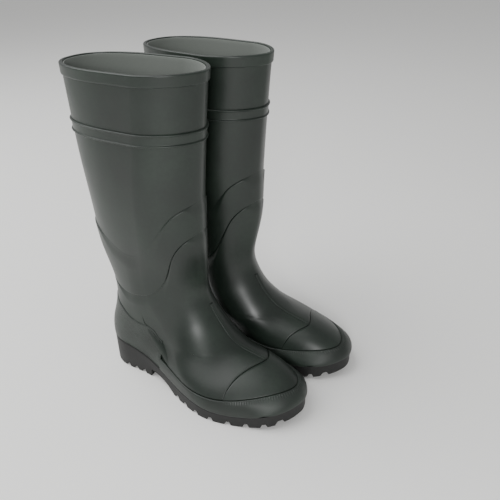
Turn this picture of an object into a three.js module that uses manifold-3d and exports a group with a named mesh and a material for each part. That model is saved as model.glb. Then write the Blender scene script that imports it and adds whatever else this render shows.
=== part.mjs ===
// A pair of knee-high rubber rain boots, modelled as one boot and mirrored for the other foot.
// Boot frame, mm: x towards the inner side of the foot, y forward from the heel, z up.
import * as THREE from "three";
import { mergeVertices } from "three/addons/utils/BufferGeometryUtils.js";
import Module from "manifold-3d";

// Overall sizes
const bootHeight = 402;
const footScale = 0.9443; // foot length over the 300 mm the outline stations are drawn for
const soleLength = 300 * footScale;
const stretch = footScale / 0.9443; // the side views of the sole below are drawn at foot scale 0.9443
const calfHalfWidth = 48;
const ankleHalfWidth = 39.5;
const ballHalfWidthOuter = 67;
const ballHalfWidthInner = 50;
const toeSwing = -4.6; // how far the front of the foot swings to its outer side

// Walls and fits
const gap = 0.3; // clearance between bonded layers
const wall = 2.4; // rubber of the leg and foot
const liningThickness = 1.2;
const liningDrop = 2; // the lining ends this far under the rim
const anklePanelThickness = 1.4;
const vampPanelThickness = 1.9;
const capThickness = 2.5; // toe cap and heel counter
const foxingThickness = 4.2;
const toeBumper = 2.2; // the foxing is this much thicker at the tip of the toe
const stripThickness = 0.8;
const stripWidth = 5;
const collarHeight = 12.5;
const calfBandDrop = 60; // the calf band's top under the rim
const calfBandHeight = 14;
const boardThickness = 2;
const footbedThickness = 4;
const soleEdge = 4; // how far the outsole stands out past the upper
const fillerDepth = 5.5;
const grooveDepth = 5;
const grooveWidth = 8;
const heelBreast = 77 * stretch; // y of the front face of the heel
const shellJoint = 160; // the foot and the leg meet here, under the ankle panel

// Where the left boot stands beside the right one
const nestle = 6.6; // the turned boot fits this much closer than the widest parts side by side
const widestInner = Math.max(ballHalfWidthInner, calfHalfWidth + 1.5);
const leftBootX = 2 * (widestInner + gap + foxingThickness) - nestle;
const leftBootY = -17.4;
const leftBootTurn = -8.3; // degrees

const around = 20; // stations round the boot
const calfBandHigh = bootHeight - calfBandDrop;
const calfBandLow = calfBandHigh - calfBandHeight;
const between = (low, high, share) => low + (high - low) * share;
const footLevels = [
  0, 16, 30, 39, 46, 51.5, 56, 60, 64, 69, 77, 88, 103,
  between(103, shellJoint, 1 / 3), between(103, shellJoint, 2 / 3), shellJoint,
];
const legLevels = [
  shellJoint, ...[30, 65, 105, 138].map((rise) => between(shellJoint, calfBandLow, rise / 168)),
  calfBandLow, calfBandHigh, bootHeight - collarHeight, bootHeight,
];

const wasm = await Module();
wasm.setup();

const clamp01 = (t) => Math.min(1, Math.max(0, t));
const smooth = (t) => clamp01(t) ** 2 * (3 - 2 * clamp01(t));

// Natural cubic spline through points [t, v], as a function of t
function spline(points) {
  const t = points.map((p) => p[0]);
  const v = points.map((p) => p[1]);
  const last = t.length - 1;
  const curve = new Array(last + 1).fill(0);
  const diagonal = [1];
  const right = [0];
  for (let i = 1; i < last; i++) {
    const before = t[i] - t[i - 1];
    const after = t[i + 1] - t[i];
    const bend = 6 * ((v[i + 1] - v[i]) / after - (v[i] - v[i - 1]) / before);
    const carry = i > 1 ? before / diagonal[i - 1] : 0;
    diagonal[i] = 2 * (before + after) - carry * before;
    right[i] = bend - carry * right[i - 1];
  }
  for (let i = last - 1; i > 0; i--) {
    curve[i] = (right[i] - (t[i + 1] - t[i]) * curve[i + 1]) / diagonal[i];
  }
  return (s) => {
    let i = 0;
    while (i < last - 1 && s > t[i + 1]) i++;
    const h = t[i + 1] - t[i];
    const a = (t[i + 1] - s) / h;
    const b = (s - t[i]) / h;
    const line = a * v[i] + b * v[i + 1];
    return line + (((a ** 3 - a) * curve[i] + (b ** 3 - b) * curve[i + 1]) * h * h) / 6;
  };
}

// Straight interpolation through points [t, v], held at both ends
function ramp(points) {
  return (s) => {
    if (s <= points[0][0]) return points[0][1];
    for (let i = 1; i < points.length; i++) {
      const [t0, v0] = points[i - 1];
      const [t1, v1] = points[i];
      if (s <= t1) return v0 + ((v1 - v0) * (s - t0)) / (t1 - t0);
    }
    return points[points.length - 1][1];
  };
}

// Side view: the back line as y(z), and the front line from the rim down the shin to the toe
const backLine = spline([
  [20, 3], [55, 1], [90, 11.5], [130, 15.5], [180, 2], [240, -3], [300, -9.5], [bootHeight + 1, -15.8],
]);
const frontPoints = [
  [165.8, bootHeight + 1, 57], [155.2, 310, 57], [149, 240, 57], [146.7, 190, 60], [141, 150, 60],
  [143.6, 117.8, 56], [190 * footScale, 70.5, 50], [225 * footScale, 61, 46], [258 * footScale, 54.7, 40],
  [283 * footScale + 2.7, 42.6, 38], [soleLength - 2.6, 30, 38], [soleLength - 1.6, 20, 38],
];
const frontKnots = frontPoints.reduce((list, p, i) => {
  const q = frontPoints[Math.max(0, i - 1)];
  list.push((list[i - 1] || 0) + Math.sqrt(Math.hypot(p[0] - q[0], p[1] - q[1])));
  return list;
}, []);
const frontY = spline(frontPoints.map((p, i) => [frontKnots[i], p[0]]));
const frontZ = spline(frontPoints.map((p, i) => [frontKnots[i], p[1]]));
const frontRound = ramp(frontPoints.map((p, i) => [frontKnots[i], p[2]]));
const frontSamples = 400;
const frontLine = [];
for (let i = 0; i <= frontSamples; i++) {
  const t = (frontKnots[frontKnots.length - 1] * i) / frontSamples;
  frontLine.push({ y: frontY(t), z: frontZ(t), round: frontRound(t) });
}

// y of the front line at height z; below its end the toe is upright
function frontAt(z) {
  for (let i = 1; i <= frontSamples; i++) {
    const a = frontLine[i - 1];
    const b = frontLine[i];
    if (z >= b.z && z <= a.z) return a.y + ((b.y - a.y) * (a.z - z)) / (a.z - b.z);
  }
  return z > bootHeight ? frontLine[0].y : frontLine[frontSamples].y;
}

// Distance to the front line and the rounding radius there
function nearFront(y, z) {
  let best = { distance: Infinity, round: 38 };
  for (let i = 1; i <= frontSamples; i++) {
    const a = frontLine[i - 1];
    const b = frontLine[i];
    const length2 = (b.y - a.y) ** 2 + (b.z - a.z) ** 2;
    const along = clamp01(((y - a.y) * (b.y - a.y) + (z - a.z) * (b.z - a.z)) / length2);
    const distance = Math.hypot(y - a.y - along * (b.y - a.y), z - a.z - along * (b.z - a.z));
    if (distance < best.distance) best = { distance, round: a.round + along * (b.round - a.round) };
  }
  return best;
}

// Plan outline of the foot: half widths to the outer and to the inner side
const k = footScale;
const outerSide = spline([
  [0, 37], [40 * k, 38.5], [80 * k, 40], [125 * k, 51], [165 * k, 63.5], [205 * k, ballHalfWidthOuter],
  [240 * k, ballHalfWidthOuter - 8.6], [soleLength, ballHalfWidthOuter - 20.5],
]);
const innerSide = spline([
  [0, 37], [40 * k, 36.5], [80 * k, 34.5], [125 * k, 37.2], [165 * k, 45], [205 * k, ballHalfWidthInner],
  [240 * k, ballHalfWidthInner - 5.7], [soleLength, ballHalfWidthInner - 9.7],
]);
const legHalfWidth = spline([
  [90, ankleHalfWidth - 0.5], [150, ankleHalfWidth + 0.5], [250, calfHalfWidth + 1.5],
  [330, calfHalfWidth], [bootHeight, calfHalfWidth - 0.5],
]);
const backRound = ramp([[30, 38], [70, 38], [130, 58], [200, 78], [400, 88]]);
const superEllipse = (t, power) => (1 - (1 - clamp01(t)) ** power) ** (1 / power);

function halfWidth(y, z) {
  const zz = Math.max(z, 20);
  const front = nearFront(y, zz);
  const ends = superEllipse(front.distance / front.round, 1.7)
    * superEllipse((y - backLine(zz)) / backRound(zz), 2.3);
  const yy = Math.min(soleLength, Math.max(0, y));
  const foot = (outerSide(yy) + innerSide(yy)) / 2 - 3;
  const blend = smooth((zz - 50) / 100);
  return (foot * (1 - blend) + legHalfWidth(Math.max(90, zz)) * blend) * ends;
}

// The foot leans a little inwards at the instep and follows the sole's outline below
function middle(y, z) {
  const yy = Math.min(soleLength, Math.max(0, y));
  const outline = ((innerSide(yy) - outerSide(yy)) / 2) * (1 - smooth((z - 35) / 60));
  const instep = 9 * smooth((z - 28) / 34) * (1 - smooth((z - 130) / 80)) * smooth((y - 60) / 60);
  const swing = toeSwing * Math.max(0, (y - 80) / 200) * (1 - smooth((z - 90) / 60));
  return outline + instep + swing;
}

// A point of the boot's surface: turn runs once round from the back ridge, z is the height
function surfacePoint(turn, z) {
  const zz = Math.max(z, 20);
  const back = backLine(zz);
  const y = back + (frontAt(zz) - back) * (1 - Math.cos(turn)) * 0.5;
  const side = Math.abs(Math.sin(turn)) < 1e-9 ? 0 : Math.sign(Math.sin(turn));
  return new THREE.Vector3(middle(y, z) - side * halfWidth(y, z), y, z);
}

// Stations round the boot, a little closer together at the toe and at the heel
const turnAt = (index) => {
  const even = (2 * Math.PI * index) / around;
  return even - 0.12 * Math.sin(2 * even);
};

const surfaceCache = new Map();
function surfaceAt(index, z) {
  const key = index + "/" + z;
  if (!surfaceCache.has(key)) {
    const turn = turnAt(index);
    const point = surfacePoint(turn, z);
    const round = surfacePoint(turn + 0.03, z).sub(surfacePoint(turn - 0.03, z));
    const up = surfacePoint(turn, z + 0.6).sub(surfacePoint(turn, z - 0.6));
    surfaceCache.set(key, { point, normal: up.cross(round).normalize() });
  }
  return surfaceCache.get(key);
}

// The surface moved out by h, in where h is negative; h may also be a function of y
function offsetPoint(index, z, h) {
  const { point, normal } = surfaceAt(index, z);
  return point.clone().addScaledVector(normal, typeof h === "function" ? h(point.y) : h);
}

function solidFrom(positions, indices) {
  const geometry = new THREE.BufferGeometry();
  geometry.setAttribute("position", new THREE.Float32BufferAttribute(positions, 3));
  geometry.setIndex(indices);
  return toSolid(geometry);
}

function toSolid(geometry) {
  geometry.deleteAttribute("normal");
  geometry.deleteAttribute("uv");
  const merged = mergeVertices(geometry, 1e-4);
  const made = new wasm.Manifold(new wasm.Mesh({
    numProp: 3,
    vertProperties: merged.attributes.position.array,
    triVerts: new Uint32Array(merged.index.array),
  }));
  return made;
}

// A closed band round the boot: profile is its cross-section as [z, h] points,
// up the outside and down the inside
function bandRound(profile) {
  const positions = [];
  const indices = [];
  const count = profile.length;
  for (let i = 0; i < around; i++) {
    for (const [z, h] of profile) positions.push(...offsetPoint(i, z, h).toArray());
  }
  for (let i = 0; i < around; i++) {
    const next = ((i + 1) % around) * count;
    for (let j = 0; j < count; j++) {
      const a = i * count + j;
      const b = i * count + ((j + 1) % count);
      const c = next + ((j + 1) % count);
      const d = next + j;
      // every layer splits its quads the same way, so that neighbours stay parallel
      if (profile[(j + 1) % count][0] < profile[j][0]) indices.push(a, b, d, b, c, d);
      else indices.push(a, b, c, a, c, d);
    }
  }
  return solidFrom(positions, indices);
}

// Everything between two offsets of the surface, from the lowest level to the highest
function layer(levels, low, high) {
  const outside = levels.map((z) => [z, high]);
  const inside = levels.map((z) => [z, low]).reverse();
  return bandRound([...outside, ...inside]);
}

// The whole space inside one offset of the surface
function core(levels, h) {
  const positions = [];
  const indices = [];
  for (const z of levels) {
    for (let i = 0; i < around; i++) positions.push(...offsetPoint(i, z, h).toArray());
  }
  for (let row = 0; row < levels.length - 1; row++) {
    for (let i = 0; i < around; i++) {
      const a = row * around + i;
      const b = row * around + ((i + 1) % around);
      indices.push(a, a + around, b + around, a, b + around, b);
    }
  }
  for (const [row, flip] of [[0, true], [levels.length - 1, false]]) {
    for (let i = 0; i < around / 2 - 1; i++) {
      const a = row * around + i;
      const b = row * around + i + 1;
      const c = row * around + ((around - i) % around);
      const d = row * around + around - i - 1;
      const corners = i === 0 ? [[a, d, b]] : [[a, c, d], [a, d, b]];
      for (const [p, q, r] of corners) indices.push(p, flip ? r : q, flip ? q : r);
    }
    const i = around / 2 - 1;
    const tip = [row * around + i, row * around + i + 2, row * around + i + 1];
    indices.push(tip[0], flip ? tip[2] : tip[1], flip ? tip[1] : tip[2]);
  }
  return solidFrom(positions, indices);
}

const outside = ballHalfWidthOuter + 27; // past the boot's sides
const aboveRim = bootHeight + 18;

const extrude = (points, depth) => new THREE.ExtrudeGeometry(
  new THREE.Shape(points.map(([a, b]) => new THREE.Vector2(a, b))),
  { depth, bevelEnabled: false, steps: 1 },
);

// A prism drawn in side view as [y, z] points and run across the boot
function sidePrism(points, from = -outside, to = outside) {
  const turned = new THREE.Matrix4().set(0, 0, 1, from, 1, 0, 0, 0, 0, 1, 0, 0, 0, 0, 0, 1);
  return toSolid(extrude(points, to - from).applyMatrix4(turned));
}

// A prism drawn in plan as [x, y] points and run upwards
function planPrism(points, from = -20, to = aboveRim) {
  return toSolid(extrude(points, to - from).translate(0, 0, from));
}

const sample = (line, from, to, steps) =>
  Array.from({ length: steps + 1 }, (_, i) => {
    const t = from + ((to - from) * i) / steps;
    return [t, line(t)];
  });
const shifted = (points, dy, dz) => points.map(([y, z]) => [y + dy, z + dz]);

// Side-view lines of the seams
const stretched = (points) => points.map(([y, z]) => [y * stretch, z]);
const behind = -20 * stretch;
const ahead = 295 * stretch;
const featherLine = spline(stretched([
  [-20, 38.5], [40, 38], [77, 28.5], [125, 19], [165, 16.5], [205, 14], [235, 16.5], [262, 22.5], [295, 28],
]));
const foxingTop = spline(stretched([
  [90, 41.5], [120, 36.5], [150, 33], [185, 31], [212, 33], [240, 38.5], [266, 42], [295, 40],
]));
const anklePanelTop = spline([
  [-25, 228], [20, 209], [40, 199], [60, 189], [80, 189], [96, 201], [111, 218], [126, 240], [141, 253], [160, 264],
]);
const vampPanelTop = spline([
  [-10, 147], [28, 134], [50, 128], [72, 127.5], [92, 134], [106, 150], [116, 172], [126, 195], [140, 213], [160, 228],
]);
const counterEdge = stretched([
  [5, 116], [24, 108], [42, 96], [55, 85], [66, 82], [78, 80.5], [87, 75.5], [94, 65], [98, 50], [99, 20],
]);
const foxingBack = 99 * stretch;
const featherRow = (dz) => shifted(sample(featherLine, behind, ahead, 18), 0, dz);

// A sheet that follows the feather line, between two heights over it
function slab(low, high) {
  return sidePrism([...featherRow(low), ...featherRow(high).reverse()]);
}

const footAndLeg = [...footLevels, ...legLevels.slice(1)];
const levelsBetween = (low, high) => {
  const first = footAndLeg.findIndex((z, i) => z >= low || footAndLeg[i + 1] > low);
  return footAndLeg.slice(first).filter((z, i, list) => i === 0 || list[i - 1] < high);
};

const pieces = {};

// Leg and foot of the moulded rubber boot
const aboveFeather = sidePrism([...featherRow(gap), [ahead, aboveRim], [behind, aboveRim]]);
pieces.leg_shell = layer([shellJoint + gap, ...legLevels.slice(1)], -wall, 0);
pieces.foot_shell = layer(footLevels, -wall, 0).intersect(aboveFeather);

// Woven lining, standing on the insole board
const liningOutside = wall + gap;
const liningInside = liningOutside + liningThickness;
const onBoard = sidePrism([
  ...featherRow(boardThickness + 2 * gap), [ahead, aboveRim], [behind, aboveRim],
]);
const liningLevels = [...footAndLeg.slice(1, -1), bootHeight - liningDrop];
pieces.lining = layer(liningLevels, -liningInside, -liningOutside).intersect(onBoard);

// Bands round the rim and the calf
const collarBase = bootHeight - collarHeight;
pieces.collar_band = bandRound([
  [collarBase, 1.1], [collarBase + 1.2, 1.9], [bootHeight - 1.4, 1.9], [bootHeight, 1.2],
  [bootHeight, gap], [collarBase, gap],
]);
pieces.calf_band = bandRound([
  [calfBandLow, 1.2], [calfBandLow + 1.2, 2.2], [calfBandLow + 2.6, 1.3],
  [calfBandHigh - 2.6, 1.3], [calfBandHigh - 1.2, 2.2], [calfBandHigh, 1.2],
  [calfBandHigh, gap], [calfBandLow, gap],
]);

// Panels over the ankle and the vamp
const ankleTopRow = sample(anklePanelTop, -25, 160, 12);
const vampTopRow = sample(vampPanelTop, -10, 160, 12);
const ankleWindow = sidePrism([
  [-25, 148], ...shifted(vampTopRow, 0, gap), [165, 230], [165, 262], ...ankleTopRow.reverse(),
]);
pieces.ankle_panel = layer(levelsBetween(103, 265), gap, gap + anklePanelThickness)
  .intersect(ankleWindow);

const foxingTopRow = (dz) => shifted(sample(foxingTop, foxingBack, ahead, 12), 0, dz);
const counterWindow = sidePrism([[behind, 20], [behind, 122], ...counterEdge, [foxingBack, 8]]);
const counterLevels = levelsBetween(0, 122);
pieces.heel_counter = layer(counterLevels, gap, gap + capThickness)
  .intersect(counterWindow)
  .intersect(aboveFeather);

// The toe cap's edge in plan bows back at the sides
const capStart = 231.5 * stretch;
const capEdge = (shift) => Array.from({ length: 17 }, (_, i) => {
  const x = outside * (i / 8 - 1);
  return [x, capStart - 29 * (1 - Math.exp(-((Math.abs(x - 2) / 32) ** 1.6))) + shift];
});
const inFrontOfCapEdge = planPrism([
  ...capEdge(gap / 2), [outside, ahead + 15], [-outside, ahead + 15],
]);
const behindCapEdge = planPrism([
  [-outside, behind - 10], [outside, behind - 10], ...capEdge(-gap / 2).reverse(),
]);
const overFoxing = sidePrism([...foxingTopRow(gap), [ahead + 5, 90], [foxingBack, 90]]);
pieces.toe_cap = layer(levelsBetween(0, 88), gap, gap + capThickness)
  .intersect(inFrontOfCapEdge)
  .intersect(overFoxing);

const vampWindow = sidePrism([
  ...foxingTopRow(gap), [ahead + 5, 90], [165, 228], ...shifted(vampTopRow, 0, 0).reverse(),
  [-25, 120], ...shifted(counterEdge, gap, gap).slice(0, -1),
]);
pieces.vamp_panel = layer(levelsBetween(14, 225), gap, gap + vampPanelThickness)
  .intersect(vampWindow)
  .intersect(behindCapEdge);

// Narrow strip down the instep, on the vamp panel
const stripSide = (shift) => sample((y) => y, 146, capStart - 4.5, 8).map(([y]) => {
  const onFront = frontLine.reduce((a, b) => (Math.abs(b.y - y) < Math.abs(a.y - y) && b.z < 150 ? b : a));
  return [middle(y, onFront.z) + shift, y];
});
const stripWindow = planPrism(
  [...stripSide(stripWidth / 2), ...stripSide(-stripWidth / 2).reverse()], 60, 150,
);
const stripBase = gap + vampPanelThickness + gap;
pieces.front_strip = layer(levelsBetween(57, 160), stripBase, stripBase + stripThickness)
  .intersect(stripWindow);

// Foxing: the raised band where the upper meets the sole, open at the heel
const foxingWindow = sidePrism([
  ...shifted(sample(featherLine, foxingBack + gap, ahead, 12), 0, gap),
  ...shifted(sample(foxingTop, foxingBack + gap, ahead, 12), 0, 0).reverse(),
]);
const foxingFace = (y) => gap + foxingThickness
  + toeBumper * smooth((y - 225 * stretch) / (50 * stretch));
pieces.foxing = layer(levelsBetween(0, 57), gap, foxingFace).intersect(foxingWindow);

// Inside, from the sole up: board and loose footbed
const floorLevels = levelsBetween(0, 77);
pieces.insole_board = core(floorLevels, -wall - gap).intersect(slab(gap, gap + boardThickness));
const footbedBase = boardThickness + 3 * gap;
pieces.footbed = core(floorLevels, -liningInside - gap)
  .intersect(slab(footbedBase, footbedBase + footbedThickness));

// Outsole: heel, arched waist and a forefoot that lifts to the toe
const soleBottom = [
  [behind, 0], [heelBreast, 0], [heelBreast + 2, 12],
  ...stretched([[100, 10.5], [114, 6.5], [126, 0], [222, 0], [240, 2], [262, 5.5], [300, 12]]),
];
const outlineLevel = 20;
const outlineRing = (h) => Array.from({ length: around }, (_, i) => {
  const point = offsetPoint(i, outlineLevel, h);
  return [point.x, point.y];
});
const soleBlank = planPrism(outlineRing(soleEdge), -5, 60)
  .intersect(sidePrism([...soleBottom, ...featherRow(0).reverse()]));
const fillerShape = planPrism(outlineRing(-10), -5, 60);
const recess = fillerShape.intersect(slab(-fillerDepth - gap, 10));

// Cleats: trapezoid grooves across the heel and the forefoot
const groove = (y, z) => sidePrism([
  [y - grooveWidth / 2, z - 6], [y + grooveWidth / 2, z - 6], [y + grooveWidth / 2, z],
  [y + grooveWidth / 4, z + grooveDepth], [y - grooveWidth / 4, z + grooveDepth], [y - grooveWidth / 2, z],
]);
const bottomAt = ramp(soleBottom);
let outsole = soleBlank.subtract(recess);
for (const station of [36, 50, 64, 133, 149, 168, 190, 213, 235, 256, 271]) {
  outsole = outsole.subtract(groove(station * stretch, bottomAt(station * stretch)));
}
pieces.outsole = outsole;

// Under the board: light filler with a steel shank let into its top
const shankBack = 50 * stretch;
const shankFront = 150 * stretch;
const shankRoom = sidePrism([
  ...shifted(sample(featherLine, shankBack, shankFront, 6), 0, -1.8),
  ...shifted(sample(featherLine, shankBack, shankFront, 6), 0, 10).reverse(),
], -9, 9);
const fillerBody = planPrism(outlineRing(-10 - gap), -5, 60).intersect(slab(-fillerDepth, -gap));
pieces.sole_filler = fillerBody.subtract(shankRoom);
pieces.shank = sidePrism([
  ...shifted(sample(featherLine, shankBack + gap, shankFront - gap, 6), 0, -1.8 + gap),
  ...shifted(sample(featherLine, shankBack + gap, shankFront - gap, 6), 0, -gap / 2).reverse(),
], -9 + gap, 9 - gap);

// Looks of each material
const look = (color, roughness, metalness = 0) =>
  new THREE.MeshStandardMaterial({ color, roughness, metalness });
const greenRubber = look(0x4d534f, 0.45);
const ribRubber = look(0x525854, 0.4);
const foxingRubber = look(0x4a504b, 0.6);
const blackRubber = look(0x2b2c2b, 0.65);
const knit = look(0x8a8d86, 0.95);
const cellulose = look(0xa38f6c, 0.9);
const foam = look(0x3a3b3a, 0.95);
const steel = look(0xa9adb0, 0.35, 1);
const materialOf = {
  leg_shell: greenRubber, foot_shell: greenRubber, lining: knit, collar_band: ribRubber,
  calf_band: ribRubber, ankle_panel: greenRubber, vamp_panel: greenRubber, heel_counter: foxingRubber,
  toe_cap: greenRubber, front_strip: ribRubber, foxing: foxingRubber, insole_board: cellulose,
  footbed: foam, outsole: blackRubber, sole_filler: foam, shank: steel,
};

function toGeometry(solid) {
  const mesh = solid.getMesh();
  const flat = new THREE.BufferGeometry();
  const xyz = new Float32Array(mesh.numVert * 3);
  for (let i = 0; i < mesh.numVert; i++) {
    xyz.set(mesh.vertProperties.subarray(i * mesh.numProp, i * mesh.numProp + 3), i * 3);
  }
  flat.setAttribute("position", new THREE.BufferAttribute(xyz, 3));
  flat.setIndex(new THREE.BufferAttribute(mesh.triVerts, 1));
  flat.computeVertexNormals();
  return flat;
}

const geometries = Object.fromEntries(
  Object.entries(pieces).map(([name, solid]) => [name, toGeometry(solid)]),
);

// One boot, its toe towards -Y once placed
const bootMiddle = 150 * stretch;
function boot(prefix, scaleX) {
  const group = new THREE.Group();
  for (const [name, geometry] of Object.entries(geometries)) {
    const mesh = new THREE.Mesh(geometry, materialOf[name]);
    mesh.name = prefix + "_" + name;
    group.add(mesh);
  }
  const inner = new THREE.Group();
  group.position.set(0, bootMiddle, 0);
  group.scale.set(scaleX, -1, 1);
  inner.add(group);
  return inner;
}

const pair = new THREE.Group();
const rightBoot = boot("right", 1);
const leftBoot = boot("left", -1);
leftBoot.position.set(leftBootX, leftBootY, 0);
leftBoot.rotation.z = THREE.MathUtils.degToRad(leftBootTurn);
pair.add(rightBoot, leftBoot);

// Origin at the bottom centre of the pair's box
pair.updateMatrixWorld(true);
const box = new THREE.Box3().setFromObject(pair, true);
const centre = box.getCenter(new THREE.Vector3());
pair.position.set(-centre.x, -centre.y, -box.min.z);

export default pair;
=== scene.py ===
# Looks for a pair of knee-high rubber rain boots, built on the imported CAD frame.
import bpy
import bmesh
import math
import numpy as np
from mathutils import Matrix, Vector


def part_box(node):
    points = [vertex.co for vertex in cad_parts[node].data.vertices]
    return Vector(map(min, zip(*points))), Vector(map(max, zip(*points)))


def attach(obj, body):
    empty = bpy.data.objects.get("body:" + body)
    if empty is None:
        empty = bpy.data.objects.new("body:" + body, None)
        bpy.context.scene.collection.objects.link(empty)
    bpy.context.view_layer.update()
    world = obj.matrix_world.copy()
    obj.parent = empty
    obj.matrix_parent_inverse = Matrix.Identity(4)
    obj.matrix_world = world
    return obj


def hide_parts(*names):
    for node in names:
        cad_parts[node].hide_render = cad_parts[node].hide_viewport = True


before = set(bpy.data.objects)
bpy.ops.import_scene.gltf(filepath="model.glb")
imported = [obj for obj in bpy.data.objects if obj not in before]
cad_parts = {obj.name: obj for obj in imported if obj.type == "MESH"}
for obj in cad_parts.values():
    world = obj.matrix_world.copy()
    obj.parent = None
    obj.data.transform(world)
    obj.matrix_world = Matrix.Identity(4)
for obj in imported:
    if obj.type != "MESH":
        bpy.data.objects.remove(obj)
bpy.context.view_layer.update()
print("frame loaded")

# the boot's own shape, in mm: x to the inner side, y forward from the heel, z up
bootShape = {
    "height": 402.0,
    "footScale": 0.9443,
    "ankleHalfWidth": 39.5,
    "calfHalfWidth": 48.0,
    "ballOuter": 67.0,
    "ballInner": 50.0,
    "toeSwing": -4.6,       # how far the front of the foot swings to its outer side
    "instepLean": 9.0,
    "leftTurn": -8.3,       # degrees, the left boot's turn
    "shankMiddle": 100.0,   # y of the shank's middle, which fixes each boot's place
}
footScale = bootShape["footScale"]
soleLength = 300 * footScale


def curveThrough(points):
    # natural cubic spline through [t, v] points
    t, v = np.array(points, float).T
    step = np.diff(t)
    count = len(t)
    lhs = np.eye(count)
    rhs = np.zeros(count)
    for i in range(1, count - 1):
        lhs[i, i - 1:i + 2] = step[i - 1], 2 * (step[i - 1] + step[i]), step[i]
        rhs[i] = 6 * ((v[i + 1] - v[i]) / step[i] - (v[i] - v[i - 1]) / step[i - 1])
    bend = np.linalg.solve(lhs, rhs)

    def at(s):
        s = np.asarray(s, float)
        i = np.clip(np.searchsorted(t, s, side="right") - 1, 0, count - 2)
        a = (t[i + 1] - s) / step[i]
        b = (s - t[i]) / step[i]
        line = a * v[i] + b * v[i + 1]
        return line + ((a ** 3 - a) * bend[i] + (b ** 3 - b) * bend[i + 1]) * step[i] ** 2 / 6
    return at


def smooth(t):
    t = np.clip(t, 0, 1)
    return t * t * (3 - 2 * t)


def superEllipse(t, power):
    return (1 - (1 - np.clip(t, 0, 1)) ** power) ** (1 / power)


backLine = curveThrough([(20, 3), (55, 1), (90, 11.5), (130, 15.5), (180, 2), (240, -3), (300, -9.5),
                         (bootShape["height"] + 1, -15.8)])
frontPoints = np.array([
    (165.8, bootShape["height"] + 1, 57), (155.2, 310, 57), (149, 240, 57), (146.7, 190, 60),
    (141, 150, 60), (143.6, 117.8, 56), (190 * footScale, 70.5, 50), (225 * footScale, 61, 46),
    (258 * footScale, 54.7, 40),
    (283 * footScale + 2.7, 42.6, 38), (soleLength - 2.6, 30, 38), (soleLength - 1.6, 20, 38)])
frontSteps = np.hypot(*np.diff(frontPoints[:, :2], axis=0).T)
frontKnots = np.concatenate([[0], np.cumsum(np.sqrt(frontSteps))])
frontT = np.linspace(0, frontKnots[-1], 401)
frontY = curveThrough(np.stack([frontKnots, frontPoints[:, 0]], 1))(frontT)
frontZ = curveThrough(np.stack([frontKnots, frontPoints[:, 1]], 1))(frontT)
frontRound = np.interp(frontT, frontKnots, frontPoints[:, 2])

outerSide = curveThrough([
    (0, 37), (40 * footScale, 38.5), (80 * footScale, 40), (125 * footScale, 51), (165 * footScale, 63.5),
    (205 * footScale, bootShape["ballOuter"]), (240 * footScale, bootShape["ballOuter"] - 8.6),
    (soleLength, bootShape["ballOuter"] - 20.5)])
innerSide = curveThrough([
    (0, 37), (40 * footScale, 36.5), (80 * footScale, 34.5), (125 * footScale, 37.2), (165 * footScale, 45),
    (205 * footScale, bootShape["ballInner"]), (240 * footScale, bootShape["ballInner"] - 5.7),
    (soleLength, bootShape["ballInner"] - 9.7)])
legHalfWidth = curveThrough([
    (90, bootShape["ankleHalfWidth"] - 0.5), (150, bootShape["ankleHalfWidth"] + 0.5),
    (250, bootShape["calfHalfWidth"] + 1.5), (330, bootShape["calfHalfWidth"]),
    (bootShape["height"], bootShape["calfHalfWidth"] - 0.5)])


def halfWidth(y, z):
    segY, segZ = np.diff(frontY), np.diff(frontZ)
    reach = segY ** 2 + segZ ** 2
    along = np.clip(((y[:, None] - frontY[:-1]) * segY + (z[:, None] - frontZ[:-1]) * segZ) / reach, 0, 1)
    away = np.hypot(y[:, None] - frontY[:-1] - along * segY, z[:, None] - frontZ[:-1] - along * segZ)
    nearest = away.argmin(1)
    pick = np.arange(len(y)), nearest
    radius = frontRound[nearest] + along[pick] * (frontRound[nearest + 1] - frontRound[nearest])
    ends = superEllipse(away[pick] / radius, 1.7)
    backRadius = np.interp(z, [30, 70, 130, 200, 400], [38, 38, 58, 78, 88])
    ends = ends * superEllipse((y - backLine(z)) / backRadius, 2.3)
    yy = np.clip(y, 0, soleLength)
    foot = (outerSide(yy) + innerSide(yy)) / 2 - 3
    blend = smooth((z - 50) / 100)
    return (foot * (1 - blend) + legHalfWidth(np.maximum(z, 90)) * blend) * ends


def middle(y, z):
    yy = np.clip(y, 0, soleLength)
    outline = (innerSide(yy) - outerSide(yy)) / 2 * (1 - smooth((z - 35) / 60))
    instep = bootShape["instepLean"] * smooth((z - 28) / 34) * (1 - smooth((z - 130) / 80))
    instep = instep * smooth((y - 60) / 60)
    swing = bootShape["toeSwing"] * np.maximum(0, (y - 80) / 200) * (1 - smooth((z - 90) / 60))
    return outline + instep + swing


# the surface as one fine table over height and the turn round the boot, 0 at the back
skinStep = 0.75
skinHeights = np.arange(0, bootShape["height"] + 1.6, skinStep)
skinTurns = np.arange(720) * math.tau / 720
skinPoints = np.zeros((len(skinHeights), len(skinTurns), 3))
for row, height in enumerate(skinHeights):
    low = max(height, 20.0)
    back = float(backLine(low))
    front = np.interp(low, frontZ[::-1], frontY[::-1])
    y = back + (front - back) * (1 - np.cos(skinTurns)) / 2
    side = np.sign(np.round(np.sin(skinTurns), 9))
    z = np.full_like(y, low)
    skinPoints[row] = np.stack([middle(y, z + (height - low)) - side * halfWidth(y, z), y,
                                np.full_like(y, height)], 1)
alongTurn = np.roll(skinPoints, -2, 1) - np.roll(skinPoints, 2, 1)
skinNormals = np.cross(np.gradient(skinPoints, axis=0), alongTurn)
skinNormals /= np.linalg.norm(skinNormals, axis=2, keepdims=True)
print("boot surface ready")


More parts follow.
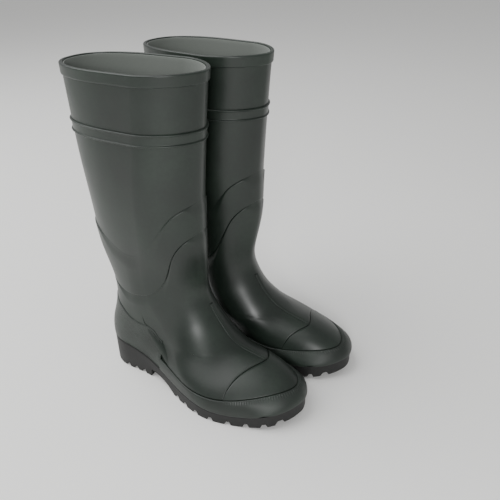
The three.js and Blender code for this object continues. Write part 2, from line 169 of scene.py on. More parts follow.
def onSkin(turn, z, h):
    # points of the surface at these turns and heights, moved out by h
    turn, z, h = np.broadcast_arrays(turn, z, h)
    column = (turn / math.tau * 720) % 720
    line = np.clip(z / skinStep, 0, len(skinHeights) - 1.001)
    c0, r0 = np.floor(column).astype(int), np.floor(line).astype(int)
    c1 = (c0 + 1) % 720
    cf, rf = (column - c0)[..., None], (line - r0)[..., None]

    def blend(table):
        return ((table[r0, c0 % 720] * (1 - cf) + table[r0, c1] * cf) * (1 - rf)
                + (table[r0 + 1, c0 % 720] * (1 - cf) + table[r0 + 1, c1] * cf) * rf)
    normal = blend(skinNormals)
    normal /= np.linalg.norm(normal, axis=-1, keepdims=True)
    return blend(skinPoints) + normal * h[..., None]


def crossing(signed, turns):
    # highest height at which a signed table over the skin goes from below zero to above it
    below = signed < 0
    top = len(skinHeights) - 1 - below[::-1].argmax(0)
    top = np.where(below.any(0), top, 0)
    top = np.minimum(top, len(skinHeights) - 2)
    cols = np.arange(len(skinTurns))
    a, b = signed[top, cols], signed[top + 1, cols]
    part = np.clip(-a / np.where(abs(b - a) < 1e-9, 1, b - a), 0, 1)
    heights = skinHeights[top] + part * skinStep
    return np.interp(turns % math.tau, np.append(skinTurns, math.tau), np.append(heights, heights[0]))


skinX, skinY, skinZ = skinPoints[..., 0], skinPoints[..., 1], skinPoints[..., 2]

# seams in side view, z over y
seams = {
    "feather": curveThrough([(-20, 38.5), (40, 38), (77, 28.5), (125, 19), (165, 16.5), (205, 14),
                             (235, 16.5), (262, 22.5), (295, 28)]),
    "foxingTop": curveThrough([(90, 40), (120, 35), (150, 31.5), (185, 29.5), (212, 31.5), (240, 36.6),
                               (266, 40), (295, 38.4)]),
    "ankleTop": curveThrough([(-25, 228), (20, 209), (40, 199), (60, 189), (80, 189), (96, 201),
                              (111, 218), (126, 240), (141, 253), (160, 264)]),
    "vampTop": curveThrough([(-10, 147), (28, 134), (50, 128), (72, 127.5), (92, 134), (106, 150),
                             (116, 172), (126, 195), (140, 213), (160, 228)]),
}
counterEdge = np.array([(5, 116), (24, 108), (42, 96), (55, 85), (66, 82), (78, 80.5), (87, 75.5),
                        (94, 65), (98, 50), (99, 20)], float)
foxingBack = 99.0


def counterTop(y):
    # upper edge of the heel counter, rounded at its corners
    shifts = (-3, -1.5, 0, 1.5, 3)
    return np.mean([np.interp(y + d, counterEdge[:, 0], counterEdge[:, 1]) for d in shifts], axis=0)


def capEdge(x):
    return 231.5 - 29 * (1 - np.exp(-(np.abs(x - 2) / 32) ** 1.6))


# where the boots stand
def shankMiddle(side):
    low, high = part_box(side + "_shank")
    return (Vector(low) + Vector(high)) * 500


def standing(side):
    # matrix from the boot's own mm to the frame's metres
    turn = math.radians(bootShape["leftTurn"]) if side == "left" else 0.0
    mirror = -1 if side == "left" else 1
    turned = Matrix.Rotation(turn, 4, "Z")
    flipped = Matrix.Diagonal((mirror, -1, 1, 1))
    place = turned @ flipped
    there = shankMiddle(side)
    here = place @ Vector((0, bootShape["shankMiddle"], 0))
    place = Matrix.Translation((there.x - here.x, there.y - here.y, 0)) @ place
    return Matrix.Scale(0.001, 4) @ place


bootPlace = {side: standing(side) for side in ("right", "left")}


def toPieces(name, bm, material, replaced, smoothShade=True, bevel=None):
    # one mesh in boot mm becomes the right boot's piece and the left boot's; bevel is (mm, segments)
    bmesh.ops.recalc_face_normals(bm, faces=bm.faces)
    made = []
    for side in ("right", "left"):
        copy = bm.copy()
        bmesh.ops.transform(copy, matrix=bootPlace[side], verts=copy.verts)
        if bootPlace[side].determinant() < 0:
            bmesh.ops.reverse_faces(copy, faces=copy.faces)
        mesh = bpy.data.meshes.new(side + name)
        copy.to_mesh(mesh)
        copy.free()
        if smoothShade:
            mesh.shade_smooth()
        piece = bpy.data.objects.new(side + name, mesh)
        bpy.context.scene.collection.objects.link(piece)
        piece.data.materials.append(material)
        if bevel:
            mod = piece.modifiers.new("softEdge", "BEVEL")
            mod.width, mod.segments = bevel[0] / 1000, bevel[1]
            mod.limit_method, mod.angle_limit = "ANGLE", math.radians(28)
        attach(piece, side + "_boot")
        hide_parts(*[side + "_" + node for node in replaced])
        made.append(piece)
    bm.free()
    return made


def gridMesh(columns, rows):
    # a plain grid, with the column and the row of each of its vertices
    bm = bmesh.new()
    bmesh.ops.create_grid(bm, x_segments=columns, y_segments=rows, size=0.5)
    bm.verts.ensure_lookup_table()
    grid = np.array([v.co for v in bm.verts])
    column = np.rint((grid[:, 0] - grid[:, 0].min()) / np.ptp(grid[:, 0]) * columns).astype(int)
    row = np.rint((grid[:, 1] - grid[:, 1].min()) / np.ptp(grid[:, 1]) * rows).astype(int)
    return bm, column, row


def closeEnds(bm):
    bmesh.ops.holes_fill(bm, edges=[e for e in bm.edges if e.is_boundary], sides=0)


def pathLength(path):
    return np.concatenate([[0], np.cumsum(np.linalg.norm(np.diff(path, axis=0), axis=1))])


def wrapped(turns, heights, lifts, aroundAll=True):
    # a grid wrapped on the boot: rows of (height, lift) form a closed cross-section at each turn
    rows, count = heights.shape
    bm, column, row = gridMesh(count if aroundAll else count - 1, rows)
    column, row = column % count, row % rows
    spots = onSkin(turns[column], heights[row, column], lifts[row, column])
    uv = bm.loops.layers.uv.new("band")
    length = pathLength(onSkin(turns, heights.mean(0), lifts.max(0)))
    for v, spot, c, r in zip(bm.verts, spots, column, row):
        v.co = spot
        for loop in v.link_loops:
            loop[uv].uv = (length[c] / mmPerUv, heights[r, c] / mmPerUv)
    bmesh.ops.remove_doubles(bm, verts=bm.verts, dist=0.002)
    bmesh.ops.dissolve_degenerate(bm, edges=bm.edges, dist=0.0005)
    if not aroundAll:
        closeEnds(bm)
    return bm


def lofted(sections):
    # closed rings of one length, joined in turn and closed at both ends
    sections = np.array(sections)
    rings, ringLength = sections.shape[:2]
    bm, column, row = gridMesh(rings - 1, ringLength)
    for v, i, j in zip(bm.verts, column, row % ringLength):
        v.co = sections[i, j]
    bmesh.ops.remove_doubles(bm, verts=bm.verts, dist=0.01)
    closeEnds(bm)
    return bm


def panelRows(low, high, thickness, lowEdge, highEdge, fade=0.0, middleRows=40, insideRows=8,
              foot=0.12, head=0.12):
    # cross-section of a raised panel between two heights: up the outside, down the inside;
    # foot and head are the shares of the thickness at which its rounded edges start,
    # and fade, 0 to 1, melts the upper edge into the surface
    inside = -0.35
    low, high = np.broadcast_arrays(low, high)
    fade = np.broadcast_to(fade, low.shape)
    span = np.maximum(high - low, 0)
    steps = np.array([0.0, 0.02, 0.07, 0.15, 0.28, 0.45, 0.7, 1.0])
    crisp = np.sqrt(1 - (1 - steps) ** 2)
    lowEdge = np.minimum(np.broadcast_to(lowEdge, low.shape), span * 0.45)
    highEdge = np.minimum(np.broadcast_to(highEdge, low.shape), span * 0.45)
    heights, lifts = [low], [np.full(low.shape, inside)]
    for s, c in zip(steps, crisp):
        heights.append(low + s * lowEdge)
        lifts.append(np.full(low.shape, thickness * (foot + (1 - foot) * c)))
    bottom, upper = low + lowEdge, high - highEdge
    for k in range(1, middleRows):
        heights.append(bottom + (upper - bottom) * k / middleRows)
        lifts.append(np.full(low.shape, thickness))
    start = head * (1 - fade)
    for s, c in zip(steps[::-1], crisp[::-1]):
        heights.append(high - s * highEdge)
        lifts.append(thickness * (start + (1 - start) * ((1 - fade) * c + fade * smooth(s))))
    heights.append(high)
    lifts.append(np.full(low.shape, inside))
    for k in range(1, insideRows):
        heights.append(high + (low - high) * k / insideRows)
        lifts.append(np.full(low.shape, inside))
    return np.array(heights), np.array(lifts)


def profileRows(profile, turns):
    # the same (height, lift) cross-section all round
    heights, lifts = np.array(profile, float).T[:, :, None]
    return np.repeat(heights, len(turns), 1), np.repeat(lifts, len(turns), 1)


def rowsBetween(low, high, count, first=0):
    return [low + (high - low) * k / count for k in range(first, count + 1)]


# materials
mmPerUv = 100       # one unit of the "band" UV map
wavePitch = 31.4    # a wave texture's scale times its pitch in mm, on that map


def linear(hexColour):
    parts = [int(hexColour[i:i + 2], 16) / 255 for i in (1, 3, 5)]
    return [*[c / 12.92 if c <= 0.04045 else ((c + 0.055) / 1.055) ** 2.4 for c in parts], 1]


def addNode(tree, kind, settings=None, links=None):
    node = tree.nodes.new(kind)
    for key, value in (settings or {}).items():
        if isinstance(key, int) or key in node.inputs:
            node.inputs[key].default_value = value
        else:
            setattr(node, key, value)
    for key, source in (links or {}).items():
        tree.links.new(source, node.inputs[key])
    return node


def newMaterial(name, settings):
    material = bpy.data.materials.new(name)
    material.use_nodes = True
    tree = material.node_tree
    shader = tree.nodes["Principled BSDF"]
    for key, value in settings.items():
        shader.inputs[key].default_value = value
    return material, tree, shader


def objectPlace(tree):
    return addNode(tree, "ShaderNodeTexCoord").outputs["Object"]


def bandUv(tree):
    return addNode(tree, "ShaderNodeUVMap", {"uv_map": "band"}).outputs[0]


def noise(tree, place, scale, detail, **settings):
    return addNode(tree, "ShaderNodeTexNoise", {"Scale": scale, "Detail": detail, **settings},
                   {"Vector": place}).outputs["Fac"]


def mathNode(tree, operation, a, b, c=None):
    # each of a, b and c is a number or a socket
    values = {i: v for i, v in enumerate((a, b, c)) if isinstance(v, (int, float))}
    links = {i: v for i, v in enumerate((a, b, c)) if v is not None and i not in values}
    return addNode(tree, "ShaderNodeMath", {"operation": operation, **values}, links).outputs[0]


def colourRamp(tree, shader, source, stops):
    node = addNode(tree, "ShaderNodeValToRGB", None, {0: source})
    ramp = node.color_ramp
    while len(ramp.elements) < len(stops):
        ramp.elements.new(0.5)
    for element, (position, hexColour) in zip(ramp.elements, stops):
        element.position = position
        element.color = linear(hexColour)
    tree.links.new(node.outputs[0], shader.inputs["Base Color"])


def bumpNode(tree, height, strength, distanceMm, under=None):
    links = {"Height": height}
    if under:
        links["Normal"] = under
    return addNode(tree, "ShaderNodeBump", {"Strength": strength, "Distance": distanceMm / 1000},
                   links).outputs[0]


def mouldedRubber(name, base, light, dark, roughness, grain=0.05, unevenness=0.25, grainMm=0.7):
    # moulded PVC rubber: satin, a slight bloom and flow marks, faint orange peel
    material, tree, shader = newMaterial(name, {"IOR": 1.5, "Metallic": 0.0})
    place = objectPlace(tree)
    bloom = noise(tree, place, 14.0, 5.0, Roughness=0.55)
    fleck = noise(tree, place, 1000 / 4.0, 3.0)
    tone = mathNode(tree, "MULTIPLY_ADD", fleck, 0.25, bloom)
    colourRamp(tree, shader, tone, [(0.42, dark), (0.62, base), (0.84, light)])
    rough = addNode(tree, "ShaderNodeMapRange",
                    {"From Min": 0.3, "From Max": 0.7,
                     "To Min": roughness - 0.05, "To Max": roughness + 0.07},
                    {"Value": bloom})
    tree.links.new(rough.outputs[0], shader.inputs["Roughness"])
    peel = noise(tree, place, 1000 / grainMm, 2.0)
    flow = bumpNode(tree, noise(tree, place, 22.0, 1.0), unevenness, 3.0)
    tree.links.new(bumpNode(tree, peel, grain, 0.4, flow), shader.inputs["Normal"])
    return material


# satin grey-green PVC of the leg and vamp
greenRubber = mouldedRubber("mouldedGreenPvc", "#19221c", "#212c24", "#141b16", 0.37)
# the bands and the strip: the same PVC, a little less rough, with a painted highlight: its colours a little
# lighter for the light that their faces catch
bandRubber = mouldedRubber("greenPvcPaintedHighlight", "#1b241e", "#232e26", "#161d18", 0.36)
# black tread rubber, matt and dusty
blackRubber = mouldedRubber("mattBlackTreadRubber", "#0b0c0b", "#111211", "#080908", 0.6,
                            grain=0.25, unevenness=0.1)

# reach and fade are along the band from the tip of the toe, in units of the UV map
stipple = {"pitchMm": 1.3, "depthMm": 0.25, "slant": 0.9, "toeMiddle": 2.46, "toeReach": 0.95, "fade": 0.25}


def stippledRubber():
    # foxing rubber rolled with a fine diamond stipple round the toe, smooth along the sides
    material, tree, shader = newMaterial("stippledGreenRubber", {"IOR": 1.5, "Roughness": 0.42})
    uv, place = bandUv(tree), objectPlace(tree)
    waves = []
    for slant in (stipple["slant"], -stipple["slant"]):
        turned = addNode(tree, "ShaderNodeMapping", {"Rotation": (0, 0, slant)}, {"Vector": uv})
        wave = addNode(tree, "ShaderNodeTexWave",
                       {"Scale": wavePitch / stipple["pitchMm"], "Distortion": 0.0},
                       {"Vector": turned.outputs[0]})
        waves.append(wave.outputs["Fac"])
    dots = mathNode(tree, "MULTIPLY", *waves)
    along = addNode(tree, "ShaderNodeSeparateXYZ", None, {0: uv}).outputs[0]
    away = addNode(tree, "ShaderNodeMath", {"operation": "ABSOLUTE"},
                   {0: mathNode(tree, "SUBTRACT", along, stipple["toeMiddle"])})
    toeOnly = addNode(tree, "ShaderNodeMapRange",
                      {"From Min": stipple["toeReach"], "From Max": stipple["toeReach"] - stipple["fade"]},
                      {"Value": away.outputs[0]})
    toeDots = mathNode(tree, "MULTIPLY", dots, toeOnly.outputs[0])
    tone = mathNode(tree, "MULTIPLY_ADD", toeDots, 0.25, noise(tree, place, 30.0, 5.0))
    colourRamp(tree, shader, tone, [(0.4, "#171e19"), (0.6, "#1d2620"), (0.85, "#2b352e")])
    tree.links.new(bumpNode(tree, toeDots, 0.6, stipple["depthMm"]), shader.inputs["Normal"])
    return material


foxingRubber = stippledRubber()

knitPitch = {"ribMm": 1.3, "loopMm": 1.1}


def knitLining():
    # knitted sock lining: rows of small loops, soft sheen
    material, tree, shader = newMaterial("knittedLining",
                                         {"IOR": 1.45, "Roughness": 0.85, "Sheen Weight": 0.15})
    uv = bandUv(tree)
    ribs = addNode(tree, "ShaderNodeTexWave",
                   {"Scale": wavePitch / knitPitch["ribMm"], "Distortion": 0.4, "Detail": 1.0},
                   {"Vector": uv})
    turned = addNode(tree, "ShaderNodeMapping", {"Rotation": (0, 0, math.pi / 2)}, {"Vector": uv})
    loops = addNode(tree, "ShaderNodeTexWave",
                    {"Scale": wavePitch / knitPitch["loopMm"], "Distortion": 0.6},
                    {"Vector": turned.outputs[0]})
    knit = mathNode(tree, "MULTIPLY", ribs.outputs["Fac"], loops.outputs["Fac"])
    colourRamp(tree, shader, knit, [(0.0, "#626762"), (0.5, "#6b706b"), (1.0, "#747974")])
    tree.links.new(bumpNode(tree, knit, 0.3, 0.2), shader.inputs["Normal"])
    return material


liningKnit = knitLining()


def grainyMaterial(name, low, high, scale, settings, detail=5.0, stops=(0.35, 0.7),
                   relief=(0.2, 0.4), **fibre):
    # even stock with its own grain; relief is (strength, mm)
    material, tree, shader = newMaterial(name, settings)
    grain = noise(tree, objectPlace(tree), scale, detail, **fibre)
    colourRamp(tree, shader, grain, [(stops[0], low), (stops[1], high)])
    tree.links.new(bumpNode(tree, grain, *relief), shader.inputs["Normal"])
    return material


# needle-punched felt top of the foam footbed
footbedFelt = grainyMaterial("needleFelt", "#2a2b2a", "#4a4c4a", 900.0,
                             {"IOR": 1.45, "Roughness": 0.95, "Sheen Weight": 0.3},
                             detail=6.0, stops=(0.3, 0.7), relief=(0.6, 0.6), Distortion=1.5)
# pressed cellulose board, cut from sheet
celluloseBoard = grainyMaterial("celluloseBoard", "#8f7c5c", "#b09c78", 500.0, {"Roughness": 0.9})
# foamed rubber, moulded
foamFiller = grainyMaterial("foamRubberFiller", "#262726", "#3a3b3a", 900.0, {"Roughness": 0.95})
# spring steel strip, cold rolled
stripSteel = grainyMaterial("rolledStripSteel", "#8d9194", "#a9adb0", 300.0,
                            {"Roughness": 0.35, "Metallic": 1.0})
for side in ("right", "left"):
    for node, material in (("insole_board", celluloseBoard), ("sole_filler", foamFiller),
                           ("shank", stripSteel)):
        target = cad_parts[side + "_" + node]
        target.data.materials.clear()
        target.data.materials.append(material)
print("materials ready")

# leg and foot shells
shell = {"wall": 2.4, "joint": 160.0, "jointGap": 0.3, "rimRound": 1.1}
fullTurns = np.arange(360) * math.tau / 360
top = bootShape["height"]
rim = shell["rimRound"]
rimAngles = np.linspace(0.2, math.pi / 2, 6)
legProfile = [(z, 0.0) for z in np.linspace(shell["joint"], top - rim, 60)]
legProfile += [(top - rim * (1 - math.sin(a)), -rim * (1 - math.cos(a))) for a in rimAngles]
legProfile += [(top - rim * (1 - math.cos(a)), -shell["wall"] + rim * (1 - math.sin(a))) for a in rimAngles]
legProfile += [(z, -shell["wall"]) for z in np.linspace(top - rim - 1, shell["joint"], 20)]
toPieces("LegShell", wrapped(fullTurns, *profileRows(legProfile, fullTurns)),
         greenRubber, ["leg_shell"])

lowFeather = crossing(skinZ - seams["feather"](skinY), fullTurns)
footTop = shell["joint"] - shell["jointGap"]
outerHeights, innerHeights = rowsBetween(lowFeather, footTop, 60), rowsBetween(footTop, lowFeather, 30)
footLifts = [np.zeros(360)] * len(outerHeights) + [np.full(360, -shell["wall"])] * len(innerHeights)
toPieces("FootShell", wrapped(fullTurns, np.array(outerHeights + innerHeights), np.array(footLifts)),
         greenRubber, ["foot_shell"])

# lining, open at the top, standing on the board
lining = {"outside": 2.7, "thickness": 1.2, "drop": 2.0, "overFeather": 2.6, "edgeRound": 0.6}
liningTop = top - lining["drop"]
liningLow = lowFeather + lining["overFeather"]
outer, inner = -lining["outside"], -lining["outside"] - lining["thickness"]
liningHeights = rowsBetween(liningLow, liningTop, 40)
liningLifts = [np.full(360, outer)] * len(liningHeights)
for a in np.linspace(0, math.pi, 6):
    liningHeights.append(np.full(360, liningTop + lining["edgeRound"] * math.sin(a)))
    liningLifts.append(np.full(360, (outer + inner) / 2 + (outer - inner) / 2 * math.cos(a)))
liningHeights += rowsBetween(liningTop, liningLow, 90, first=1)
liningLifts += [np.full(360, inner)] * 90
toPieces("Lining", wrapped(fullTurns, np.array(liningHeights), np.array(liningLifts)),
         liningKnit, ["lining"])
print("shells and lining made")

# bands round the rim and the calf
collar = {"height": 12.5, "thickness": 1.9, "edge": 1.3}
rows = panelRows(np.full(360, top - collar["height"]), np.full(360, top), collar["thickness"],
                 collar["edge"], collar["edge"], middleRows=10)
toPieces("CollarBand", wrapped(fullTurns, *rows), bandRubber, ["collar_band"])

calf = {"low": 328.0, "high": 342.0, "flat": 0.7, "rib": 2.2, "ribHalf": 1.15, "outerFlat": 0.05,
        "inside": -0.35}
ribProfile = [(calf["low"], calf["inside"])]
for centre, lowRib in ((calf["low"] + calf["ribHalf"], True), (calf["high"] - calf["ribHalf"], False)):
    for a in np.linspace(math.pi, 0, 11):
        flat = calf["flat"] if lowRib == (a < math.pi / 2) else calf["outerFlat"]
        ribProfile.append((centre + calf["ribHalf"] * math.cos(a),
                           flat + (calf["rib"] - flat) * math.sin(a)))
    if lowRib:
        ribProfile += [(z, calf["flat"]) for z in np.linspace(calf["low"] + 3, calf["high"] - 3, 5)]
ribProfile += [(z, calf["inside"]) for z in (calf["high"], 338, 335, 332)]
toPieces("CalfBand", wrapped(fullTurns, *profileRows(ribProfile, fullTurns)),
         bandRubber, ["calf_band"])

# panels over ankle and vamp: their upper arcs are crisp at the back and beside the shin,
# and melt into the leg at the sides and before the shin
ankle = {"thickness": 1.5, "line": 0.2, "lowEdge": 0.7, "highEdge": 1.4, "meltEdge": 18, "melt": 0.95}
fineTurns = np.arange(480) * math.tau / 480
ankleLow = crossing(skinZ - seams["vampTop"](skinY), fineTurns)
ankleHigh = crossing(skinZ - seams["ankleTop"](skinY), fineTurns)
sideways = np.abs(np.sin(fineTurns)) ** 3
melted = np.maximum(smooth((sideways - 0.3) / 0.5), smooth((0.5 - np.abs(fineTurns - math.pi)) / 0.3))
rows = panelRows(ankleLow + ankle["line"], ankleHigh, ankle["thickness"], ankle["lowEdge"],
                 ankle["highEdge"] + ankle["meltEdge"] * melted, fade=ankle["melt"] * melted)
toPieces("AnklePanel", wrapped(fineTurns, *rows), greenRubber, ["ankle_panel"])

vamp = {"thickness": 2.0, "line": 0.2, "lowEdge": 0.9, "highEdge": 1.4, "meltEdge": 13, "melt": 0.93,
        "foot": 0.62}
# the vamp's lower edge runs on under the heel counter
underCounter = np.array([(5, 113), (24, 105), (42, 93), (55, 82), (66, 78.5), (75, 73), (81, 62),
                         (86, 50), (91, 43), (99, 40.8)])
vampFloor = np.where(skinY < foxingBack, np.interp(skinY, underCounter[:, 0], underCounter[:, 1]),
                     seams["foxingTop"](skinY))
vampLow = crossing(np.minimum(skinZ - vampFloor, capEdge(skinX) - skinY), fineTurns) + vamp["line"]
rows = panelRows(vampLow, ankleLow, vamp["thickness"], vamp["lowEdge"],
                 vamp["highEdge"] + vamp["meltEdge"] * melted, fade=vamp["melt"] * melted,
                 middleRows=70, insideRows=20, foot=vamp["foot"])
toPieces("VampPanel", wrapped(fineTurns, *rows), greenRubber, ["vamp_panel"])


def whereTall(turns, low, high):
    tall = high > low + 0.2
    return turns[tall], low[tall], high[tall]


# heel counter, rounded by its true distance to its own edge
counter = {"thickness": 2.9, "round": 2.2, "edgeShare": 0.68, "frontGap": 0.2}
turns = np.linspace(-1.68, 1.68, 641)
low = np.maximum(crossing(skinZ - seams["feather"](skinY), turns),
                 crossing(foxingBack - counter["frontGap"] - skinY, turns))
high = crossing(np.where(skinY < foxingBack + 2, skinZ - counterTop(skinY), 1.0), turns)
turns, low, high = whereTall(turns, low, high)
heights, lifts = panelRows(low, high, 1.0, 0.3, 0.3, middleRows=60, foot=0.9, head=1.0)
spotsY = onSkin(turns, heights, 0.0)[..., 1]
edgeFrom, edgeStep = counterEdge[:-1], np.diff(counterEdge, axis=0)
offsetY, offsetZ = spotsY[..., None] - edgeFrom[:, 0], heights[..., None] - edgeFrom[:, 1]
part = np.clip((offsetY * edgeStep[:, 0] + offsetZ * edgeStep[:, 1]) / (edgeStep ** 2).sum(1), 0, 1)
fromEdge = np.hypot(offsetY - part * edgeStep[:, 0], offsetZ - part * edgeStep[:, 1]).min(-1)
rounding = np.sqrt(1 - (1 - np.clip(fromEdge / counter["round"], 0, 1)) ** 2)
edgeShare = counter["edgeShare"]
lifts = np.where(lifts > 0, counter["thickness"] * (edgeShare + (1 - edgeShare) * rounding) * lifts, lifts)
toPieces("HeelCounter", wrapped(turns, heights, lifts, aroundAll=False),
         foxingRubber, ["heel_counter"])

# toe cap
cap = {"thickness": 2.7, "lowEdge": 0.5, "backEdge": 1.1, "foot": 0.75, "head": 0.55, "firstTurn": 1.9}
turns = np.linspace(cap["firstTurn"], math.tau - cap["firstTurn"], 361)
turns, low, high = whereTall(turns, crossing(skinZ - seams["foxingTop"](skinY), turns),
                             crossing(capEdge(skinX) - skinY, turns))
rows = panelRows(low, high, cap["thickness"], cap["lowEdge"], cap["backEdge"],
                 middleRows=60, insideRows=20, foot=cap["foot"], head=cap["head"])
toPieces("ToeCap", wrapped(turns, *rows, aroundAll=False), greenRubber, ["toe_cap"])

# foxing, with a bumper at the toe and a row of fine teeth under its top edge
foxing = {
    "thickness": 4.4, "top": 3.4, "lowEdge": 0.8, "highEdge": 1.2,
    "toeBumper": 2.3, "bumperFrom": 225, "bumperRun": 50,
    "toothPitch": 3.0, "toothDepth": 0.5, "toothDrop": 2.6, "toothHalf": 0.8,
    "teethFrom": 190, "teethRun": 40, "backGap": 0.3, "heelY": 3, "toeY": 281,
}
backShare = (foxingBack + foxing["backGap"] - foxing["heelY"]) / (foxing["toeY"] - foxing["heelY"])
backTurn = math.acos(1 - 2 * backShare)
turns = np.linspace(backTurn, math.tau - backTurn, 1201)
low = crossing(skinZ - seams["feather"](skinY), turns)
high = crossing(skinZ - seams["foxingTop"](skinY), turns)
heights, lifts = panelRows(low, high, 1.0, foxing["lowEdge"], foxing["highEdge"],
                           middleRows=14, insideRows=4)
share = (heights - low) / np.maximum(high - low, 0.1)
toeShare = smooth((onSkin(turns, high, 0.0)[:, 1] - foxing["bumperFrom"]) / foxing["bumperRun"])
face = foxing["thickness"] + (foxing["top"] - foxing["thickness"]) * np.clip(share, 0, 1) ** 1.5
face = face + foxing["toeBumper"] * toeShare * np.sqrt(np.clip(1.15 - share, 0, 1))
lifts = np.where(lifts > 0, lifts * face, lifts)
path = onSkin(turns, high, 4.0)
wave = np.sin(pathLength(path) / foxing["toothPitch"] * math.tau)
teeth = np.clip(wave * 1.6, -1, 1) * 0.5 + 0.5
teeth = teeth * smooth((path[:, 1] - foxing["teethFrom"]) / foxing["teethRun"])
toothRow = np.exp(-((high - heights - foxing["toothDrop"]) / foxing["toothHalf"]) ** 2)
lifts = np.where(lifts > 0, lifts - foxing["toothDepth"] * toothRow * teeth, lifts)
toPieces("Foxing", wrapped(turns, heights, lifts, aroundAll=False),
         foxingRubber, ["foxing"])
print("panels and foxing made")

# narrow strip down the instep: two fine ridges on a web
strip = {
    "across": [-2.5, -2.3, -1.9, -1.5, -1.2, 0.0, 1.2, 1.5, 1.9, 2.3, 2.5],
    "raised": [-0.3, 0.5, 0.9, 0.5, 0.35, 0.35, 0.35, 0.5, 0.9, 0.5, -0.3],
    "base": 2.0, "from": 146.5, "to": 229.5, "thickness": 0.3, "stations": 120,
}
bm, acrossAt, alongAt = gridMesh(len(strip["across"]) - 1, strip["stations"] - 1)
onInstep = (frontZ < 122) & (frontZ > 50)
stripY = np.linspace(strip["from"], strip["to"], strip["stations"])
stripZ = np.interp(stripY, frontY[onInstep], frontZ[onInstep])
stripTurns = math.pi + np.linspace(-0.2, 0.2, 81)
for v, i, j in zip(bm.verts, acrossAt, alongAt):
    # the turn at which the boot is this far aside of its ridge
    ringX = onSkin(stripTurns, stripZ[j], 0.0)[:, 0]
    ridgeX = onSkin(math.pi, stripZ[j], 0.0)[0]
    if ringX[0] < ringX[-1]:
        turn = np.interp(strip["across"][i], ringX - ridgeX, stripTurns)
    else:
        turn = np.interp(strip["across"][i], (ringX - ridgeX)[::-1], stripTurns[::-1])
    v.co = onSkin(turn, stripZ[j], strip["base"] + strip["raised"][i])
bmesh.ops.solidify(bm, geom=bm.faces[:], thickness=strip["thickness"])
toPieces("FrontStrip", bm, bandRubber, ["front_strip"])

# outsole: side wall, heel, waist and cleats
sole = {
    "edge": 4.2, "grooveDepth": 5.0, "grooveTop": 4.0, "grooveMouth": 8.0, "middleGap": 0.8,
    "grooves": [36, 50, 64, 133, 149, 168, 190, 213, 235, 256, 271],
    "waist": (78, 125), "underFeather": 0.15, "bevel": (0.45, 2),
}
soleBottom = np.array([(-20, 0), (77, 0), (79, 12), (100, 10.5), (114, 6.5), (126, 0), (222, 0), (240, 2),
                       (262, 5.5), (300, 12)], float)


def soleStations():
    marks = {77.0, 79.0, 100.0, 114.0, 126.0}
    for g in sole["grooves"]:
        for half in (sole["grooveMouth"] / 2, sole["grooveTop"] / 2):
            marks |= {g - half, g + half}
    marks |= set(np.linspace(0.5, 284.6, 90))
    kept = []
    for mark in sorted(m for m in marks if -0.4 < m < 285.2):
        if not kept or mark - kept[-1] > 0.25:
            kept.append(mark)
    return np.array(kept)


def edgeX(line, y):
    order = np.argsort(line[:, 1])
    return np.interp(y, line[order, 1], line[order, 0])


def outlineStations(height, offset, count, ends, between):
    # stations along a ring of the boot, closer together near its tips, with x at both of its sides
    ring = onSkin(np.linspace(0, math.tau, 2 * count - 1), height, offset)
    outer, inner = ring[:count], ring[count - 1:][::-1]
    first, last = ring[:, 1].min(), ring[:, 1].max()
    y = np.unique(np.concatenate([first + ends, last - ends, between(first, last)]))
    y = y[(y >= first) & (y <= last)]
    return y, edgeX(outer, y), edgeX(inner, y)


def grooveAt(y):
    away = np.abs(y - np.array(sole["grooves"])).min()
    flank = [sole["grooveTop"] / 2, sole["grooveMouth"] / 2]
    return sole["grooveDepth"] * float(np.interp(away, flank, [1, 0]))


soleEnds = np.array([0.0, 0.15, 0.6, 1.3, 2.4, 4, 6, 8.5])
stationY, xOut, xIn = outlineStations(20.0, sole["edge"], 1441, soleEnds,
                                      lambda first, last: soleStations())
bottomZ = np.interp(stationY, soleBottom[:, 0], soleBottom[:, 1])
topZ = seams["feather"](stationY) - sole["underFeather"]
# the cleats' cross-section in shares of the half width: side blocks, middle blocks and a gap between
under = [(0.62, False), (0.55, False), (0.14, False), (0.07, True), (-0.07, True), (-0.14, False),
         (-0.55, False), (-0.62, False)]
sections = []
for y, xo, xi, zb, zt in zip(stationY, xOut, xIn, bottomZ, topZ):
    c, w = (xo + xi) / 2, (xi - xo) / 2
    inWaist = sole["waist"][0] < y < sole["waist"][1]
    groove = 0.0 if inWaist else grooveAt(y)
    gap = 0.0 if inWaist else sole["grooveDepth"] * sole["middleGap"]
    wall = [(-1.0, zb + groove), (-1.0, max(zb + 5.6, zb + (zt - zb) * 0.5)), (-1.0, zt - 2.0),
            (-1.0, zt - 1.2), (-0.985, zt - 0.2), (-0.97, zt)]
    ring = [(c + w * s, y, z) for s, z in wall]
    ring += [(c + w * s, y, zt) for s in (-0.5, 0.0, 0.5)]
    ring += [(c - w * s, y, z) for s, z in wall[::-1]]
    ring += [(c + w * s, y, zb + (gap if isGap else groove)) for s, isGap in under]
    sections.append(ring)
toPieces("Outsole", lofted(sections), blackRubber, ["outsole"],
         smoothShade=False, bevel=sole["bevel"])
print("outsole made")

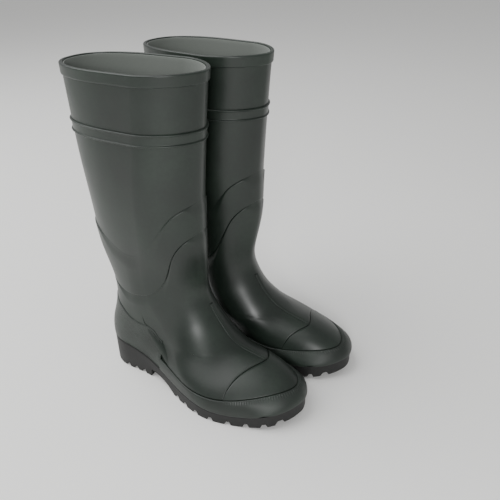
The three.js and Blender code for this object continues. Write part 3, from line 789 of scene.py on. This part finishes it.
# footbed, cupped at the heel
footbed = {"inside": 4.5, "outlineHeight": 34.0, "low": 2.9, "thickness": 4.0, "cup": 1.6, "fit": 0.985,
           "edgeDrop": 0.8}
bedEnds = np.array([0.0, 0.3, 1.0, 2.2, 4, 7])
stationY, xOut, xIn = outlineStations(footbed["outlineHeight"], -footbed["inside"], 721, bedEnds,
                                      lambda first, last: np.linspace(first + 10, last - 10, 70))
shares = np.array([-1, -0.97, -0.9, -0.75, -0.5, -0.25, 0, 0.25, 0.5, 0.75, 0.9, 0.97, 1])
sections = []
for y, xo, xi in zip(stationY, xOut, xIn):
    c, w = (xo + xi) / 2, (xi - xo) / 2 * footbed["fit"]
    under = float(seams["feather"](y)) + footbed["low"]
    cup = footbed["cup"] * (0.35 + 0.65 * float(smooth((120 - y) / 80)))
    ring = [(c + w * s, y, under) for s in shares[::-1]]
    for s in shares:
        edge = footbed["edgeDrop"] * (abs(s) > 0.95)
        ring.append((c + w * s, y, under + footbed["thickness"] - edge - cup * (1 - abs(s) ** 2.4) * 0.5))
    sections.append(ring)
for piece in toPieces("Footbed", lofted(sections), footbedFelt, ["footbed"]):
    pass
print("footbed made")

# floor, light and camera; the camera's place is in mm from the middle of the right boot
studio = {
    "floor": "#f6f6f4", "world": 0.52,
    "camera": (-473.01, -342.50, 524.81), "azimuth": -59.34, "elevation": 29.78, "roll": -1.56,
    "lens": 40.89,
}
bm = bmesh.new()
bmesh.ops.create_grid(bm, x_segments=1, y_segments=1, size=6)
floorMesh = bpy.data.meshes.new("floor")
bm.to_mesh(floorMesh)
bm.free()
floor = bpy.data.objects.new("floor", floorMesh)
bpy.context.scene.collection.objects.link(floor)
# painted studio sweep, matt
floorMaterial = newMaterial("paleStudioFloor", {"Roughness": 0.9, "Base Color": linear(studio["floor"])})[0]
floor.data.materials.append(floorMaterial)
floor.location.z = -0.0005

world = bpy.data.worlds.new("studio")
bpy.context.scene.world = world
world.use_nodes = True
world.node_tree.nodes["Background"].inputs["Color"].default_value = (1, 1, 1, 1)
world.node_tree.nodes["Background"].inputs["Strength"].default_value = studio["world"]

azimuth, elevation, roll = (math.radians(studio[k]) for k in ("azimuth", "elevation", "roll"))
back = Vector((math.sin(azimuth) * math.cos(elevation), -math.cos(azimuth) * math.cos(elevation),
               math.sin(elevation)))
right = Vector((math.cos(azimuth), math.sin(azimuth), 0))
up = back.cross(right)
right, up = right * math.cos(roll) + up * math.sin(roll), up * math.cos(roll) - right * math.sin(roll)
origin = bootPlace["right"] @ Vector((0, 150, 0))
spot = Vector(studio["camera"]) / 1000 + Vector((origin.x, origin.y, 0))
cameraData = bpy.data.cameras.new("camera")
cameraData.lens = studio["lens"]
cameraData.sensor_width = 36
cameraData.clip_start = 0.01
camera = bpy.data.objects.new("camera", cameraData)
camera.matrix_world = Matrix(((right.x, up.x, back.x, spot.x), (right.y, up.y, back.y, spot.y),
                              (right.z, up.z, back.z, spot.z), (0, 0, 0, 1)))
bpy.context.scene.collection.objects.link(camera)
bpy.context.scene.camera = camera


def softBox(name, place, aim, size, power):
    data = bpy.data.lights.new(name, "AREA")
    data.shape, data.size, data.energy = "DISK", size, power
    lamp = bpy.data.objects.new(name, data)
    lamp.location = place
    lamp.rotation_euler = (Vector(aim) - Vector(place)).to_track_quat("-Z", "Y").to_euler()
    bpy.context.scene.collection.objects.link(lamp)


softBox("topLight", (-0.5, 1.1, 1.9), (0, 0, 0), 2.4, 50)
softBox("keyLight", (-1.15, -0.62, 0.72), (0, 0, 0.12), 0.3, 9)
print("studio made")
